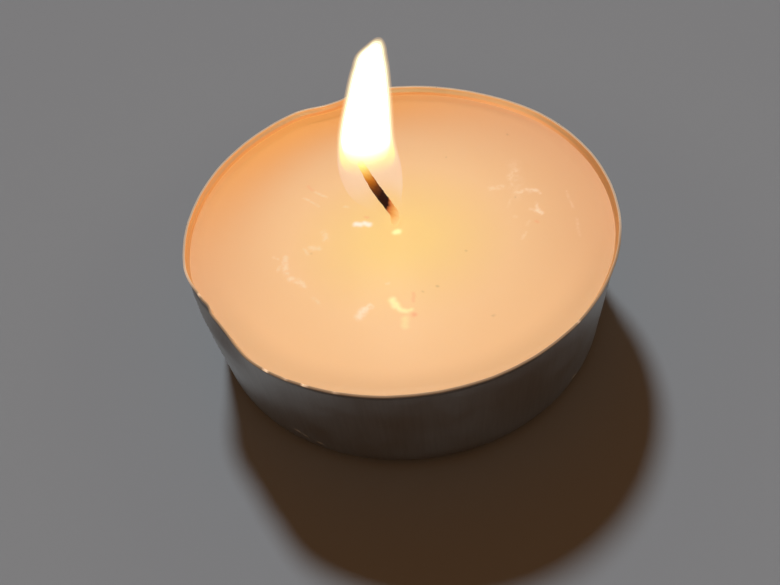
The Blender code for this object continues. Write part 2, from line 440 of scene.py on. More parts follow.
@dataclass(frozen=True)
class MoltenParaffin(Finish):
    """Paraffin wax, molten under its flame: a clear-ish, glossy pool that glows with painted light.

    Its colour, pale yellow round the wick and peach towards the cup, is a painted pool of the flame's light;
    flakes, painted highlights, warm spots and soot lie on it.

    Attributes:
        heart, middle, edge: its colour round the wick, halfway out and beside the cup, as painted light that
            falls off from the flame.
        orange, creamy: the painted reflection of the lit wall at the back left's edge, and its tint in front.
        flake, gleam, sheen, ruddy, soot: set wax, a yellow and a white painted highlight, a warm spot, and
            soot.
        glow: how strongly it glows with painted light, as a share of its colour.
        centre, reach: where the heart's colour is, and how far from there the edge's is.
        crumb_width, mottle_width: one crumb of the flakes, and one patch of its faint mottling.
        roughness: between the patches and in them.
    """

    name: str = "Molten paraffin wax"
    heart: str = "#987E4F"
    middle: str = "#967755"
    edge: str = "#8B6547"
    painted_wall_reflection: str = "#946332"
    creamy: str = "#9D7D59"
    flake: str = "#9F8A73"
    gleam: str = "#A09C6E"
    sheen: str = "#A29486"
    ruddy: str = "#976346"
    soot: str = "#593B25"
    glow: float = 2.10
    centre: Triple = (0.0, -2.0, 10.5)
    reach: float = 19.5
    crumb_width: float = 0.45
    mottle_width: float = 2.6
    roughness: Pair = (0.36, 0.48)

    def shade(self, tree: Tree) -> Inputs:
        """A round gradient about the wick as painted light, faint mottling, and coats where the pool marks
        them.

        Args:
            tree: the material's nodes.

        Returns:
            The shader's inputs.
        """
        place = add_node(tree, "TexCoord").outputs["Object"]
        moved = {"Vector": place, "Location": [-along * MM for along in self.centre]}
        about = add_node(tree, "Mapping", moved).outputs[0]
        out = add_node(tree, "VectorMath", {0: about}, operation="LENGTH").outputs["Value"]
        share = add_node(tree, "MapRange", {0: out, "From Max": self.reach * MM}).outputs[0]
        # A painted pool of the flame's light, palest round the wick.
        rings = ((0.12, self.heart), (0.5, self.middle), (1.0, self.edge))
        colour = add_node(tree, "ValToRGB", {0: share}, stops=rings).outputs[0]
        crumbs = {0: grain(tree, self.crumb_width, 3.0), "From Min": 0.38, "From Max": 0.60, "To Min": 0.25}
        crumbs = add_node(tree, "MapRange", crumbs).outputs[0]
        flake = add_node(tree, "Attribute", attribute_name="flake").outputs["Fac"]
        flaked = add_node(tree, "Math", {0: flake, 1: crumbs}, operation="MULTIPLY").outputs[0]
        # A painted reflection of the lit wall at the back left's edge, a paler front, and flakes.
        tints = (("painted_wall_reflection", self.painted_wall_reflection), ("creamy", self.creamy), (flaked, self.flake))
        # Warm spots and soot, and painted highlights of the flame's light.
        spots = (("ruddy", self.ruddy), ("soot", self.soot), ("gleam", self.gleam), ("sheen", self.sheen))
        colour = lay_coats(tree, colour, tints + spots)
        mottle = grain(tree, self.mottle_width)
        low, high = self.roughness
        relief = {"Height": mottle, "Strength": 0.12, "Distance": 0.05 * MM}
        dim = add_node(tree, "Attribute", attribute_name="dim").outputs["Fac"]
        dimmed = {0: dim, 1: -self.glow, 2: self.glow}
        return {
            "Base Color": colour,
            "Roughness": add_node(tree, "MapRange", {0: mottle, "To Min": low, "To Max": high}).outputs[0],
            "Normal": add_node(tree, "Bump", relief).outputs[0],
            "IOR": 1.44,
            "Subsurface Weight": 0.8,
            "Subsurface Radius": (1.0, 0.6, 0.35),
            "Subsurface Scale": 2.5 * MM,
            # Its colour glows again as painted light, less or more where the mark dim says.
            "Emission Color": colour,
            "Emission Strength": add_node(tree, "Math", dimmed, operation="MULTIPLY_ADD").outputs[0],
        }


@dataclass(frozen=True)
class CharredCotton(Finish):
    """Braided cotton cord in a flame: wax-soaked and amber at its foot, with painted flame light on it, then
    black char, then glowing.

    Its colours follow the mark "burn", the height above the wax, which the charring line slants across.

    Attributes:
        body: heights and colours of the cord itself.
        ember_and_painted_light: heights and colours of its light: the glowing tip's own, and painted light of
            the flame on its soaked foot.
        grain_width: one fibre of its grain.
    """

    name: str = "Charred cotton wick"
    body: tuple[tuple[float, str], ...] = (
        (0.0, "#987E4F"),
        (1.4, "#906C3C"),
        (2.2, "#74381A"),
        (2.5, "#0C0605"),
        (4.6, "#1A0C06"),
        (8.0, "#604418"),
    )
    ember_and_painted_light: tuple[tuple[float, str], ...] = (
        # Painted light of the flame on the soaked foot, then the char, then the tip's own glow.
        (0.0, "#F0C684"),
        (0.9, "#ECB470"),
        (1.5, "#DE9850"),
        (2.1, "#C06A34"),
        (2.45, "#2A100C"),
        (3.6, "#2C120C"),
        (4.5, "#683414"),
        (5.4, "#C06818"),
        (6.3, "#F4A838"),
        (7.1, "#FCF068"),
        (8.0, "#FFFAB0"),
    )
    grain_width: float = 0.12

    def shade(self, tree: Tree) -> Inputs:
        """Two ramps along the burn, one for the cord and one for its glow and painted light, over a dull
        fibrous grain.

        Args:
            tree: the material's nodes.

        Returns:
            The shader's inputs.
        """
        top = self.body[-1][0]
        burn = add_node(tree, "Attribute", attribute_name="burn").outputs["Fac"]
        share = add_node(tree, "MapRange", {0: burn, "From Max": top}).outputs[0]
        inputs = {"Roughness": 0.85, "Specular IOR Level": 0.15, "Emission Strength": 1.0}
        for socket, levels in (("Base Color", self.body), ("Emission Color", self.ember_and_painted_light)):
            stops = [(height / top, tint) for height, tint in levels]
            inputs[socket] = add_node(tree, "ValToRGB", {0: share}, stops=stops).outputs[0]
        relief = {"Height": grain(tree, self.grain_width, 3.0), "Strength": 0.5, "Distance": 0.03 * MM}
        inputs["Normal"] = add_node(tree, "Bump", relief).outputs[0]
        return inputs


@dataclass(frozen=True)
class BurningVapour(Finish):
    """Burning wax vapour: it gives light and reflects none, and is clear where it has not caught yet.

    Attributes:
        power: how much brighter than white its brightest colour is.
    """

    name: str = "Burning wax vapour"
    power: float = 8.0

    def shade(self, tree: Tree) -> Inputs:
        """A black, shineless surface that gives the light of its mark "light" where its mark "cover" is.

        Args:
            tree: the material's nodes.

        Returns:
            The shader's inputs.
        """
        return {
            "Base Color": BLACK,
            "Roughness": 1.0,
            "Specular IOR Level": 0.0,
            "Alpha": add_node(tree, "Attribute", attribute_name="cover").outputs["Fac"],
            "Emission Color": add_node(tree, "Attribute", attribute_name="light").outputs["Color"],
            "Emission Strength": self.power,
        }


@dataclass(frozen=True)
class TinnedSteel(Finish):
    """Thin tinned steel, stamped: fairly bright, with the fine straight lines of the rolled sheet.

    Attributes:
        sheet, line: the tin between the lines and in them.
        line_width, line_stretch: one line of the rolling, and its width as a share of its length.
    """

    name: str = "Tinned steel sheet"
    sheet: str = "#C2BFB8"
    line: str = "#A9A69F"
    line_width: float = 0.15
    line_stretch: float = 0.05

    def shade(self, tree: Tree) -> Inputs:
        """Rolling lines as noise that is drawn out along X.

        Args:
            tree: the material's nodes.

        Returns:
            The shader's inputs.
        """
        lines = grain(tree, self.line_width, stretch=(self.line_stretch, 1.0, 1.0))
        tin = add_node(tree, "ValToRGB", {0: lines}, stops=((0.4, self.line), (0.6, self.sheet)))
        rough = add_node(tree, "MapRange", {0: lines, "To Min": 0.25, "To Max": 0.4})
        return {"Base Color": tin.outputs[0], "Metallic": 1.0, "Roughness": rough.outputs[0]}


@dataclass(frozen=True)
class PaintedBoard(Finish):
    """A smooth matt painted board, plain and pale grey, as the floor.

    Attributes:
        paint: its colour.
        grain_width: one grain of the faint roller texture.
    """

    name: str = "Matt painted board"
    paint: str = "#868C8C"
    grain_width: float = 0.8

    def shade(self, tree: Tree) -> Inputs:
        """One colour with a faint roller texture.

        Args:
            tree: the material's nodes.

        Returns:
            The shader's inputs.
        """
        relief = {"Height": grain(tree, self.grain_width), "Strength": 0.1, "Distance": 0.02 * MM}
        return {
            "Base Color": linear(self.paint),
            "Roughness": 0.9,
            "Specular IOR Level": 0.2,
            "Normal": add_node(tree, "Bump", relief).outputs[0],
        }


# The cup.


@dataclass(frozen=True)
class Dent(Patch):
    """A patch of the rim that is pushed in by its strength, in millimetres.

    Attributes:
        reach_down: how far below the rim it fades out.
    """

    reach_down: float = 2.0


@dataclass(frozen=True)
class Ding:
    """A small knock in the outer face, where the azimuth and the height give its middle."""

    azimuth: float
    height: float
    radius: float
    depth: float


@dataclass(frozen=True)
class PressedSheet:
    """The shape that the cup's sheet was pressed and later bent to, which the wax inside it follows.

    Attributes:
        rim_radius, foot_radius: the outside of the rim, and of the wall at its foot.
        height, thickness: the rim above the floor that the cup stands on, and the sheet.
        foot_rounding: the outer radius between the wall and the underside.
        lip_flare, lip_height: how far the lip stands out from the wall's top, and how tall it is.
        bulge_share: the share of a dent's depth that stands out again below it.
        dents: where the rim is pushed in, the last two being fine kinks in the larger ones.
        sway: size, count and phase of the waves by which the thin rim is out of round.
    """

    rim_radius: float = 19.0
    foot_radius: float = 18.3
    height: float = 11.6
    thickness: float = 0.2
    foot_rounding: float = 1.4
    lip_flare: float = 0.18
    lip_height: float = 0.55
    bulge_share: float = 0.1
    dents: tuple[Dent, ...] = (
        Dent(213, 19, 0.68, 2.4),
        Dent(201, 11, 0.32, 1.2),
        Dent(108, 12, 0.70, 3.0),
        Dent(60, 29, 0.20, 5.0),
        Dent(206.6, 3.4, 0.14, 1.6),
        Dent(103.5, 3.5, 0.09, 1.4),
    )
    sway: tuple[Triple, ...] = (
        (0.012, 7.0, 0.4),
        (0.010, 13.0, 2.1),
        (0.007, 29.0, 4.0),
        (0.004, 61.0, 1.3),
    )

    @property
    def wall_top_radius(self) -> float:
        """The outside of the wall where the lip starts."""
        return self.rim_radius - self.lip_flare

    @property
    def wall_top_height(self) -> float:
        """The height at which the lip starts."""
        return self.height - self.lip_height

    def wall_radius(self, height: Array) -> Array:
        """The outside of the undented wall: a straight taper from its top down to the foot's rounding."""
        share = (height - self.foot_rounding) / (self.wall_top_height - self.foot_rounding)
        return between(self.foot_radius, self.wall_top_radius, share)

    def lip(self, share: Array) -> tuple[Array, Array]:
        """The lip's outer face: the radius falls by the flare times one less the cosine of a quarter turn.

        Args:
            share: 0 at the rim and 1 at the wall's top.

        Returns:
            The radius and the height.
        """
        radius = self.rim_radius - self.lip_flare * (1 - np.cos(0.5 * np.pi * share))
        return radius, self.height - self.lip_height * share

    def foot(self, turn: Array, inset: float) -> tuple[Array, Array]:
        """The foot's rounding: a quarter circle about the same middle on both faces of the sheet.

        Args:
            turn: 0 at the wall and a quarter turn at the underside, in radians.
            inset: how far inside the outer face it runs.

        Returns:
            The radius and the height.
        """
        rounding = self.foot_rounding - inset
        radius = self.foot_radius - self.foot_rounding + rounding * np.cos(turn)
        return radius, self.foot_rounding - rounding * np.sin(turn)

    def push(self, azimuth: Array, height: Array) -> Array:
        """How far the sheet is pushed in: the dents, each less its bulge, and the rim's own sway.

        Args:
            azimuth: in degrees.
            height: above the floor.

        Returns:
            The depth, towards the axis.
        """
        depth = np.zeros(np.broadcast(azimuth, height).shape)
        for dent in self.dents:
            down = (self.height - height) / dent.reach_down
            pushed = fade(down) - self.bulge_share * fade(down - 2)
            depth += dent.at(azimuth) * pushed
        size = sum(wave[0] for wave in self.sway)
        loose = np.clip(height / self.height, 0, 1) ** 3
        return depth + loose * (size + ripple(np.radians(azimuth), self.sway))

    def bend(self, radius: Array, azimuth: Array, height: Array, inset: float) -> Array:
        """Points of the sheet, or of the wax in it, with the push, which fades as the square of the radius.

        Args:
            radius: before the push.
            azimuth: in degrees.
            height: above the floor.
            inset: how far inside the outer face the surface runs at the wall.

        Returns:
            The points, rows by columns by 3.
        """
        share = np.minimum(1.0, radius / (self.wall_radius(height) - inset)) ** 2
        radius = radius - share * self.push(azimuth, height)
        turn = np.radians(azimuth)
        return np.stack(np.broadcast_arrays(radius * np.cos(turn), radius * np.sin(turn), height), axis=-1)


@dataclass(frozen=True)
class CandleCup:
    """The cup: one closed strip, from the middle of its floor up the wall, over the rim and down again.

    Attributes:
        sheet, columns: the shape that it was pressed to, and the steps round it.
        dings: knocks in its outer face near the foot.
        nicks, glint: where the rim's cut edge is rubbed bright and carries painted glints, and where a
            painted glint lies besides.
        film_top: how far below the rim the film ends, and how far it is whole.
        painted_film_glow: where the film carries a painted glow all the way down.
            painted_low_glow, painted_low_glow_heights: where it carries a painted glow just above the wax,
            and the heights of that.
        inner_soot: where soot lies on the inner face.
        shade, shade_heights: the patch of painted shade under the dent at the front left, and its heights.
        edge_top, lip_top: the same as film_top for the cut edge and for the lip's outer face.
        crease_shade_reach, foot_darkening: how far the painted shade in the crease reaches, and the heights
            over which the wall darkens towards the foot.
        front_reach: how far from the front, in degrees, the rim is bare, and how far it is darkened as
            painted shade.
        ring: how far above a ding its ring of bright metal and painted glint is, and the ring's radius, as
            shares of the ding's.
    """

    sheet: PressedSheet = PressedSheet()
    columns: int = 480
    dings: tuple[Ding, ...] = (
        Ding(235.3, 1.90, 0.70, 0.12),
        Ding(237.4, 1.70, 0.55, 0.10),
        Ding(241.8, 1.45, 0.50, 0.08),
        Ding(318.0, 1.10, 0.80, 0.06),
        Ding(74.0, 0.90, 0.90, 0.10),
    )
    nicks_and_glints: tuple[Patch, ...] = (
        Patch(233.7, 0.9, 1.0),
        Patch(244.0, 0.9, 0.8),
        Patch(239.1, 0.9, 0.22),
        Patch(251.5, 0.9, 0.22),
        Patch(202.0, 0.9, 0.6),
        Patch(312.0, 0.9, 0.3),
    )
    glint: Patch = Patch(195, 9, 0.25)
    film_top: Pair = (0.03, 0.12)
    painted_film_glow: tuple[Patch, ...] = (Patch(120, 100, 0.50), Patch(44, 36, 0.45))
    painted_low_glow: Patch = Patch(42, 45, 0.42)
    painted_low_glow_heights: Pair = (11.3, 10.8)
    inner_soot: Patch = Patch(5, 55, 0.35)
    shade: Patch = Patch(216, 13, 0.45)
    shade_heights: Pair = (8.2, 9.4)
    edge_top: Pair = (0.16, 0.03)
    lip_top: Pair = (0.42, 0.15)
    crease_shade_reach: float = 0.30
    foot_darkening: Pair = (2.2, 0.2)
    front_reach: Pair = (80.0, 68.0)
    ring: Pair = (0.4, 0.45)

    def strip(self) -> tuple[Array, Array, Array]:
        """Its outline from the middle of the floor inside to the middle of the underside.

        Returns:
            The radius, the height, and a side, one value a row each. The side is 1 on the inner face, 0 on
            the outer one, and falls from the one to the other over the rim.
        """
        sheet = self.sheet
        down = np.linspace(0, 1, 56) ** 1.5
        heights = between(sheet.wall_top_height, sheet.foot_rounding, down)
        outer_wall = (sheet.wall_radius(heights), heights)
        inner_wall = (sheet.wall_radius(heights) - sheet.thickness, heights)
        edge = sheet.thickness / 2
        below_edge = np.linspace(edge / sheet.lip_height, 1, 8, endpoint=False)
        outer_lip = sheet.lip(below_edge)
        inner_lip = (outer_lip[0] - sheet.thickness, outer_lip[1])
        over = np.linspace(np.pi, 0, 11)[1:-1]
        rim = (outer_lip[0][0] - edge + edge * np.cos(over), outer_lip[1][0] + edge * np.sin(over))
        turns = np.linspace(0, 0.5 * np.pi, 11)[1:]
        outer_foot = sheet.foot(turns, 0.0)
        inner_foot = sheet.foot(turns[1::2], sheet.thickness)
        across = np.linspace(0.85, 0.1, 6) * outer_foot[0][-1]
        runs = [
            ((across[::-1], np.full(6, sheet.thickness)), 1.0),
            ((inner_foot[0][::-1], inner_foot[1][::-1]), 1.0),
            ((inner_wall[0][::-1], inner_wall[1][::-1]), 1.0),
            ((inner_lip[0][::-1], inner_lip[1][::-1]), 1.0),
            (rim, np.linspace(0.9, 0.1, 9)),
            (outer_lip, 0.0),
            (outer_wall, 0.0),
            (outer_foot, 0.0),
            ((across, np.zeros(6)), 0.0),
        ]
        radius = np.concatenate([run[0] for run, _ in runs])
        height = np.concatenate([run[1] for run, _ in runs])
        inside = np.concatenate([np.full(len(run[0]), side) for run, side in runs])
        return radius, height, inside

    def from_ding(self, ding: Ding, azimuth: Array, height: Array) -> Array:
        """How far from a ding's middle the points at this azimuth and height are."""
        along = np.radians(turned(azimuth, ding.azimuth)) * self.sheet.foot_radius
        return np.hypot(along, height - ding.height)

    def marks(self, azimuth: Array, height: Array, inside: Array) -> dict[str, Array]:
        """Where the film, its thick part, the flame's light, the grime and the bare metal are.

        The film covers the inner face and carries a painted glow in patches, and a little on the lip in
        front.
        Painted shade darkens the crease under the lip, the edge and the lip in front, and the patch under the
        dent; soot lies inside at the right, and the wall darkens towards the foot. Bare metal shows on the
        edge, at the rubbed spots and round the dings, and painted glints of the flame's light lie there.

        Args:
            azimuth: in degrees, along the columns.
            height: above the floor, down the rows.
            inside: 1 on the inner face and 0 on the outer one, down the rows.

        Returns:
            The marks by name, each rows by columns.
        """
        below_rim = self.sheet.height - height
        outside = 1 - inside
        film = inside * ease(*self.film_top, below_rim)
        # Painted glow on the film, in patches down the wall and just above the wax.
        thick = sum(patch.at(azimuth) for patch in self.painted_film_glow)
        thick = thick + ease(*self.painted_low_glow_heights, height) * self.painted_low_glow.at(azimuth)
        turn = np.radians(azimuth)
        # Painted shade in the crease under the lip.
        crease = fade((height - self.sheet.wall_top_height) / self.crease_shade_reach)
        crease = crease * (0.40 + ripple(turn, ((0.12, 9.0, 0.6), (0.10, 23.0, 2.2))))
        # Darker towards the foot.
        low = ease(*self.foot_darkening, height) * (0.35 + ripple(turn, ((0.10, 5.0, 1.9), (0.06, 17.0, 0.3))))
        front = ease(*self.front_reach, np.abs(turned(azimuth, 270)))
        near_edge = ease(*self.edge_top, below_rim)
        lip = outside * front * ease(*self.lip_top, below_rim)
        # Painted glints: the flame's light added on the rubbed spots, along the cut edge and a little on the
        # lip in front.
        nicked_and_glinting = near_edge * sum(nick.at(azimuth) for nick in self.nicks_and_glints)
        bare = nicked_and_glinting + near_edge * 0.55 * (1 - front)
        lit = nicked_and_glinting + near_edge * (0.40 + front * (0.54 * inside - 0.32) + self.glint.at(azimuth))
        lit = lit + 0.03 * lip
        # Round each ding, a ring of bright metal and of painted glint.
        for ding in self.dings:
            lift, radius = (share * ding.radius for share in self.ring)
            away = self.from_ding(ding, azimuth, height - lift) / radius
            bare = bare + outside * 0.8 * fade(away)
            lit = lit + outside * 0.12 * fade(0.8 * away)
        # Painted shade under the lip, under the dent and on the edge and the lip in front, with soot inside
        # and the darkening at the foot.
        grime_and_painted_shade = outside * (crease + low + self.shade.at(azimuth) * ease(*self.shade_heights, height))
        grime_and_painted_shade = grime_and_painted_shade + film * self.inner_soot.at(azimuth) + near_edge * front * (1 - 0.6 * inside)
        grime_and_painted_shade = grime_and_painted_shade + 0.7 * lip
        # The mark thick is the painted glow, and lit the painted glints.
        marks = {"film": film, "thick": film * thick + 0.06 * lip, "lit": lit, "grime_and_painted_shade": grime_and_painted_shade, "bare": bare}
        shape = np.broadcast(azimuth, height).shape
        return {name: np.clip(np.broadcast_to(mark, shape), 0, 1) for name, mark in marks.items()}

    def build(self) -> Piece:
        """Turns the strip about the axis, bends it at the dents and knocks in the dings.

        Returns:
            The cup.
        """
        radius, height, inside = (row[:, None] for row in self.strip())
        azimuth = np.linspace(0, 360, self.columns, endpoint=False)[None, :]
        knocked = sum(
            ding.depth * fade(self.from_ding(ding, azimuth, height) / ding.radius) for ding in self.dings
        )
        outer = (height < 0.5 * self.sheet.height) * (radius > 0.5 * self.sheet.foot_radius)
        skin = Skin(
            self.sheet.bend(radius - knocked * outer, azimuth, height, 0.0),
            top=(0.0, 0.0, self.sheet.thickness),
            bottom=(0.0, 0.0, 0.0),
            marks=self.marks(azimuth, height, inside),
        )
        return seat(make_piece("candle_cup", [skin]), DrawnAluminium(), "cup")


# The wax.


class Tone(Enum):
    """What a stroke on the wax is."""

    FLAKE = "flake"
    GLEAM = "gleam"
    SHEEN = "sheen"
    RUDDY = "ruddy"
    SOOT = "soot"


@dataclass(frozen=True)
class Stroke:
    """A straight mark on the wax, from one point to another, that fades out to its sides.

    Attributes:
        tone: what it is.
        start, end: its ends, as X and Y.
        width: how far it reaches to each side.
        strength: how far it takes over the wax's colour.
    """

    tone: Tone
    start: Pair
    end: Pair
    width: float
    strength: float

    def cover(self, x: Array, y: Array) -> Array:
        """The strength times a fade of the distance to the line between the ends.

        Args:
            x: X of each point.
            y: Y of each point.

        Returns:
            The cover at each point.
        """
        run = np.subtract(self.end, self.start)
        x, y = x - self.start[0], y - self.start[1]
        along = np.clip((x * run[0] + y * run[1]) / (run @ run), 0, 1)
        return self.strength * fade(np.hypot(x - along * run[0], y - along * run[1]) / self.width)


# X and Y of the start and of the end, the width and the strength of each stroke.
STROKE_ROWS = {
    Tone.FLAKE: (
        (10.63, 4.12, 11.36, 5.06, 0.50, 0.42), (8.75, 2.97, 9.80, 3.00, 0.50, 0.42),
        (10.56, 3.93, 10.70, 2.94, 0.26, 0.30), (10.81, 2.00, 11.76, 2.23, 0.38, 0.62),
        (11.76, 2.23, 12.73, 1.96, 0.38, 0.65), (12.73, 1.96, 12.92, 1.52, 0.22, 0.45),
        (12.36, 0.40, 12.23, -0.56, 0.26, 0.50), (12.23, -0.56, 12.45, -0.97, 0.44, 0.85),
        (11.62, -0.26, 12.12, -0.45, 0.26, 0.35), (10.14, -0.99, 10.30, -1.10, 0.26, 0.30),
        (11.35, -1.68, 10.97, -2.27, 0.24, 0.28), (10.75, -3.08, 10.36, -3.77, 0.26, 0.35),
        (9.83, 0.34, 10.26, 1.27, 0.26, 0.25), (15.24, 1.42, 15.37, -0.71, 0.17, 0.30),
        (15.31, -2.16, 15.16, -4.19, 0.19, 0.25), (11.35, 6.00, 10.95, 1.60, 1.00, 0.16),
        (11.90, 2.10, 10.60, 2.60, 0.80, 0.14), (-7.37, 5.30, -6.30, 4.38, 0.22, 0.45),
        (-8.39, 4.62, -7.07, 3.29, 0.22, 0.42), (-4.69, 2.88, -4.28, 2.70, 0.26, 0.35),
        (-6.66, -0.12, -6.50, -1.06, 0.48, 0.45), (-7.84, -1.94, -7.14, -2.05, 0.48, 0.48),
        (-8.40, -1.96, -8.16, -2.75, 0.26, 0.35), (-11.13, -2.48, -10.73, -2.87, 0.26, 0.35),
        (-10.11, -2.75, -10.08, -4.75, 0.44, 0.55), (-10.53, -3.75, -10.78, -4.22, 0.26, 0.35),
        (-9.69, -5.32, -9.16, -5.61, 0.50, 0.62), (-9.16, -5.61, -8.55, -6.30, 0.46, 0.55),
        (-7.66, -7.81, -7.30, -8.25, 0.34, 0.30), (-1.53, -7.09, -1.40, -7.05, 0.26, 0.35),
        (-4.01, -10.25, -3.57, -9.66, 0.62, 0.85), (-3.57, -9.66, -3.08, -9.31, 0.52, 0.90),
    ),
    # Painted highlights of the flame's light, yellow ones.
    Tone.GLEAM: (
        (-0.30, -1.17, -0.12, -1.15, 0.55, 0.95), (-1.24, -8.90, -0.98, -9.60, 0.52, 0.70),
        (-0.95, -9.34, -0.70, -9.90, 0.46, 0.70), (-0.66, -10.00, -0.21, -10.19, 0.42, 0.60),
        (-0.21, -10.19, 0.22, -10.09, 0.32, 0.50), (-0.37, -10.96, -0.39, -11.70, 0.54, 0.30),
    ),
    # Painted highlights of the flame's light, white ones.
    Tone.SHEEN: (
        (-3.76, 0.34, -3.33, 0.25, 0.50, 1.00), (-3.33, 0.25, -2.96, 0.36, 0.34, 0.90),
        (-2.96, 0.34, -2.62, 0.16, 0.50, 1.00), (-3.72, -9.75, -3.50, -9.60, 0.40, 0.25),
    ),
    Tone.RUDDY: (
        (11.92, -1.86, 12.00, -1.95, 0.28, 0.50), (-8.04, 6.18, -7.71, 5.61, 0.26, 0.35),
        (-2.89, 1.16, -2.70, 1.10, 0.26, 0.40), (0.35, -10.65, 0.40, -10.70, 0.36, 0.70),
        (0.55, -8.44, 0.47, -9.29, 0.26, 0.40),
    ),
    Tone.SOOT: (
        (10.63, 1.47, 10.66, 1.44, 0.16, 0.23), (-7.85, -2.59, -7.84, -2.62, 0.16, 0.20),
        (2.54, -7.94, 2.60, -7.98, 0.18, 0.33), (5.41, -4.41, 5.43, -4.45, 0.16, 0.29),
        (6.63, -11.61, 6.66, -11.64, 0.18, 0.29), (5.22, 8.07, 5.25, 8.05, 0.16, 0.26),
        (11.55, 10.38, 11.60, 10.35, 0.18, 0.33), (1.32, -8.37, 1.34, -8.40, 0.16, 0.23),
    ),
}
STROKES = tuple(
    Stroke(tone, row[:2], row[2:4], *row[4:]) for tone, rows in STROKE_ROWS.items() for row in rows
)


@dataclass(frozen=True)
class WaxPool:
    """The wax: a pool whose surface climbs a little at the cup and at the wick, down to the cup's floor.

    Attributes:
        sheet: the cup that holds it.
        level: its height between the raised edges.
        edge_rise, edge_width: how far it climbs the cup, and how far from it the climb starts.
        wick_place: X of the wick's foot.
        wick_rise, wick_width: how far it climbs the wick, and how far from it that climb starts.
        wetting: how far it runs into the sheet, so that no gap shows.
        flake_rise: how far set wax stands out of the pool.
        columns: steps round it.
        strokes: the marks on it.
        orange, painted_wall_reflection_radii: where its edge carries the painted reflection of the lit wall,
            and the radii between which that fades in.
        creamy: how creamy its front is.
        front_dimming, left_glow: how much less its painted glow is along its front edge, and how much more on
            the left.
        shadow_glow: how much painted light is added where the rim's shadow falls on it.
        lit_middle, lit_radii: the middle of what the rim does not shade, and where the shadow deepens.
    """

    sheet: PressedSheet = PressedSheet()
    level: float = 10.5
    edge_rise: float = 0.25
    edge_width: float = 1.2
    wick_place: float = -0.28
    wick_rise: float = 0.12
    wick_width: float = 0.9
    wetting: float = 0.02
    flake_rise: float = 0.012
    columns: int = 480
    strokes: tuple[Stroke, ...] = STROKES
    painted_wall_reflection: Patch = Patch(118, 92)
    painted_wall_reflection_radii: Pair = (10.5, 18.5)
    creamy: float = 0.45
    front_dimming: float = 0.18
    left_glow: float = 0.04
    shadow_glow: float = 0.11
    lit_middle: Pair = (0.19, -1.06)
    lit_radii: Pair = (18.7, 19.05)

    def surface(self, inset: float, azimuth: Array) -> tuple[Array, Array, dict[str, Array]]:
        """Its top, as a height over the radius and the azimuth.

        The climb at the cup is the square of the way through the edge's width; the climb at the wick is a
        fade of the distance; the flakes stand out by their cover.

        Args:
            inset: how far inside the sheet's outer face its side runs.
            azimuth: in degrees, along the columns.

        Returns:
            The radius, the height and the marks, rows by columns.
        """
        edge = float(self.sheet.wall_radius(self.level + self.edge_rise)) - inset
        radius = np.concatenate(
            [np.linspace(0.12, edge - 1.3, 148), edge - 1.25 * np.linspace(1, 0, 24) ** 1.4]
        )[:, None] * np.ones(azimuth.shape)
        turn = np.radians(azimuth)
        x, y = radius * np.cos(turn), radius * np.sin(turn)
        # A slow wobble keeps the strokes from looking ruled.
        x_bent = x + ripple(y, ((0.03, 3.1, 0.0), (0.02, 9.7, 1.0)))
        y_bent = y + ripple(x, ((0.03, 2.7, 2.0), (0.02, 8.9, 0.5)))
        marks = {
            tone.value: np.max([s.cover(x_bent, y_bent) for s in self.strokes if s.tone is tone], axis=0)
            for tone in Tone
        }
        # The mark dim sets the painted glow: less along the front edge, more on the left and where the rim's
        # cast shadow lies.
        shadow = ease(*self.lit_radii, np.hypot(x - self.lit_middle[0], y - self.lit_middle[1]))
        # A painted reflection of the lit wall, on the edge at the back left.
        marks["painted_wall_reflection"] = ease(*self.painted_wall_reflection_radii, radius) * self.painted_wall_reflection.at(azimuth)
        marks["creamy"] = self.creamy * ease(3.0, 15.0, -y)
        marks["dim"] = self.front_dimming * ease(15.5, 18.3, radius) * ease(2.0, 12.0, -y)
        marks["dim"] -= self.shadow_glow * shadow + self.left_glow * ease(2.0, 12.0, -x)
        climb = np.clip(1 - (edge - radius) / self.edge_width, 0, 1) ** 2
        height = self.level + self.edge_rise * climb
        height += self.wick_rise * fade(np.hypot(x - self.wick_place, y) / self.wick_width)
        height += self.flake_rise * (marks["flake"] + marks["gleam"] + marks["sheen"])
        return radius, height, marks

    def build(self) -> Piece:
        """Its top, its side along the cup and its underside, bent with the cup.

        Returns:
            The wax.
        """
        inset = self.sheet.thickness - self.wetting
        azimuth = np.linspace(0, 360, self.columns, endpoint=False)[None, :]
        radius, height, marks = self.surface(inset, azimuth)
        heights = between(self.level + 0.1, self.sheet.foot_rounding, np.linspace(0, 1, 9) ** 1.5)
        turns = np.linspace(0, 0.5 * np.pi, 5)[1:]
        foot = self.sheet.foot(turns, inset)
        side_radius = np.concatenate([self.sheet.wall_radius(heights) - inset, foot[0], [8.0]])
        side_height = np.concatenate([heights, foot[1], [foot[1][-1]]])
        bare = np.zeros((len(side_radius), self.columns))
        radius = np.concatenate([radius, side_radius[:, None] + bare])
        height = np.concatenate([height, side_height[:, None] + bare])
        skin = Skin(
            self.sheet.bend(radius, azimuth, height, inset),
            top=(0.0, 0.0, float(height[0].mean())),
            bottom=(0.0, 0.0, float(foot[1][-1])),
            marks={name: np.concatenate([grid, bare]) for name, grid in marks.items()},
        )
        return seat(make_piece("wax_pool", [skin]), MoltenParaffin(), "wax")


# The wick and the flame.


@dataclass(frozen=True)
class Station:
    """A place along the wick or the flame: height above the wax, shift from the wick's foot, radius."""

    height: float
    shift: float
    radius: float


